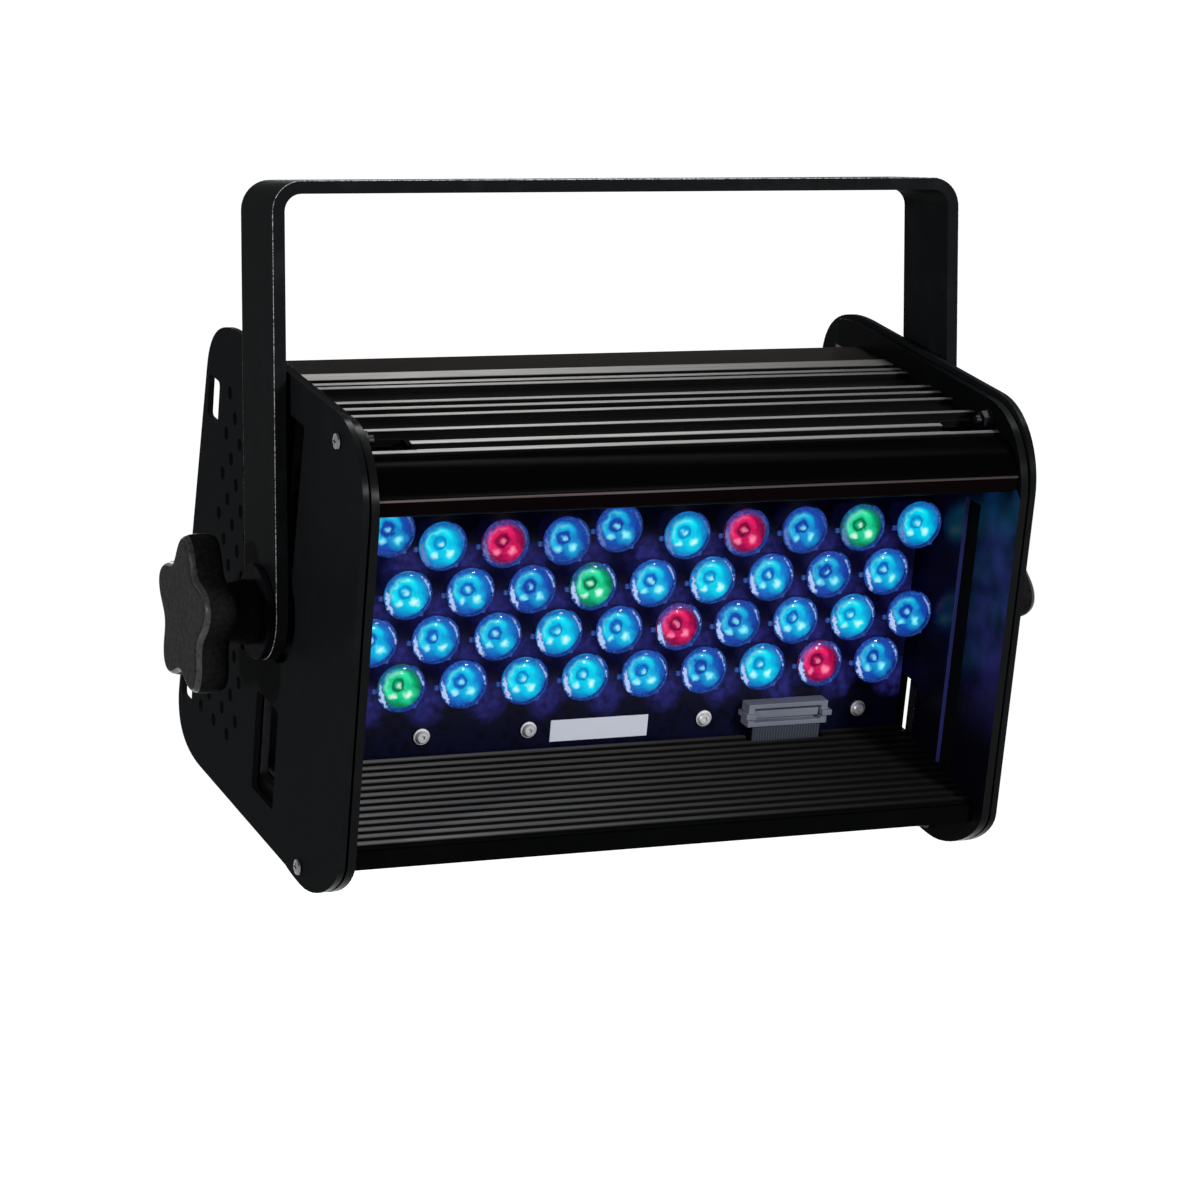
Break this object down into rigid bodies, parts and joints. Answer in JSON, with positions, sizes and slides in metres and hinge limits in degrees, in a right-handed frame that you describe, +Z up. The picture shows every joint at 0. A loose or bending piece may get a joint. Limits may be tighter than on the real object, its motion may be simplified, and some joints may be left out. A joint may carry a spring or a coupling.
{
  "type": "led stage light fixture",
  "caption": "Tilting wash light head with staggered moulded optics under ribbed hoods, between perforated side panels, hung in a flat-bar yoke with star clamp knobs.",
  "frame": {"origin": "centre of the hanging hole at the crossbar's top face", "axes": "+Z up, +X along the row of optics to the viewer's right, the light leaves towards -Y and tilts down 12.1 degrees at rest"},
  "size_m": [0.3686, 0.2315, 0.2774],
  "materials": {
    "powder_coat": "fine-grained black powder coat",
    "panel_sheet": "satin black anodised sheet",
    "dark_sheet": "black anodised sheet",
    "deck_metal": "black anodised extrusion with bright rib crests",
    "black_gloss": "glossy black",
    "brown_sheet": "brown-black satin anodised sheet",
    "ribbed_metal": "black anodised ribbed extrusion",
    "knob_plastic": "satin black moulding",
    "zinc_steel": "bright zinc plate",
    "pale_aluminium": "plain milled aluminium",
    "board": "dark blue solder mask with clear moulded optics",
    "green_board": "green solder mask",
    "pale_nylon": "off-white nylon",
    "ribbon_grey": "grey ribbon cable",
    "black_plastic": "black moulding",
    "display_glass": "dark display window"
  },
  "bodies": {
    "yoke": {"yoke": "powder_coat"},
    "washer_left": {"clamp_washer_left": "zinc_steel"},
    "knob_left": {"clamp_knob_left": "knob_plastic"},
    "washer_right": {"clamp_washer_right": "zinc_steel"},
    "knob_right": {"clamp_knob_right": "knob_plastic"},
    "button_1": {"push_button_1": "black_plastic"},
    "button_2": {"push_button_2": "black_plastic"},
    "button_3": {"push_button_3": "black_plastic"},
    "button_4": {"push_button_4": "black_plastic"},
    "head": {"side_panel_left": "panel_sheet", "end_plate_left": "dark_sheet", "pivot_spacer_left": "black_plastic", "pivot_stud_left": "zinc_steel", "panel_screw_top_left": "zinc_steel", "panel_nut_top_left": "zinc_steel", "panel_screw_bottom_left": "zinc_steel", "panel_nut_bottom_left": "zinc_steel", "side_panel_right": "panel_sheet", "end_plate_right": "dark_sheet", "pivot_spacer_right": "black_plastic", "pivot_stud_right": "zinc_steel", "panel_screw_top_right": "zinc_steel", "panel_nut_top_right": "zinc_steel", "panel_screw_bottom_right": "zinc_steel", "panel_nut_bottom_right": "zinc_steel", "top_deck": "deck_metal", "top_hood": "black_gloss", "upper_baffle": "ribbed_metal", "lower_hood": "ribbed_metal", "bottom_cover": "dark_sheet", "rear_cover": "brown_sheet", "chassis_tray": "pale_aluminium", "heat_sink": "pale_aluminium", "led_board": "board", "board_screw_1": "zinc_steel", "board_screw_2": "zinc_steel", "board_screw_3": "zinc_steel", "board_screw_4": "zinc_steel", "ribbon_connector": "pale_nylon", "ribbon_cable": "ribbon_grey", "power_supply": "pale_aluminium", "driver_board": "green_board", "control_board": "green_board", "display": "display_glass", "power_inlet": "black_plastic", "power_outlet": "black_plastic", "data_input": "black_plastic", "data_output": "black_plastic"}
  },
  "joints": [
    {"name": "head_tilt", "type": "hinge", "parent": "yoke", "child": "head", "pos_m": [0, 0, -0.17], "axis": [1, 0, 0], "range_deg": [-120, 120]},
    {"name": "washer_left_slide", "type": "slide", "parent": "yoke", "child": "washer_left", "axis": [-1, 0, 0], "range_m": [0, 0.003]},
    {"name": "knob_left_turn", "type": "hinge", "parent": "washer_left", "child": "knob_left", "pos_m": [-0.1674, 0, -0.17], "axis": [-1, 0, 0], "range_deg": [0, 720]},
    {"name": "washer_right_slide", "type": "slide", "parent": "yoke", "child": "washer_right", "axis": [1, 0, 0], "range_m": [0, 0.003]},
    {"name": "knob_right_turn", "type": "hinge", "parent": "washer_right", "child": "knob_right", "pos_m": [0.1674, 0, -0.17], "axis": [1, 0, 0], "range_deg": [0, 720]},
    {"name": "button_1_press", "type": "slide", "parent": "head", "child": "button_1", "axis": [0, -0.9778, -0.2096], "range_m": [0, 0.0012], "stiffness_N_per_m": 400},
    {"name": "button_2_press", "type": "slide", "parent": "head", "child": "button_2", "axis": [0, -0.9778, -0.2096], "range_m": [0, 0.0012], "stiffness_N_per_m": 400},
    {"name": "button_3_press", "type": "slide", "parent": "head", "child": "button_3", "axis": [0, -0.9778, -0.2096], "range_m": [0, 0.0012], "stiffness_N_per_m": 400},
    {"name": "button_4_press", "type": "slide", "parent": "head", "child": "button_4", "axis": [0, -0.9778, -0.2096], "range_m": [0, 0.0012], "stiffness_N_per_m": 400}
  ],
  "couplings": [
    {"joint": "knob_left_turn", "follows": "washer_left_slide", "rad_per_m": 4188.8},
    {"joint": "knob_right_turn", "follows": "washer_right_slide", "rad_per_m": 4188.8}
  ]
}
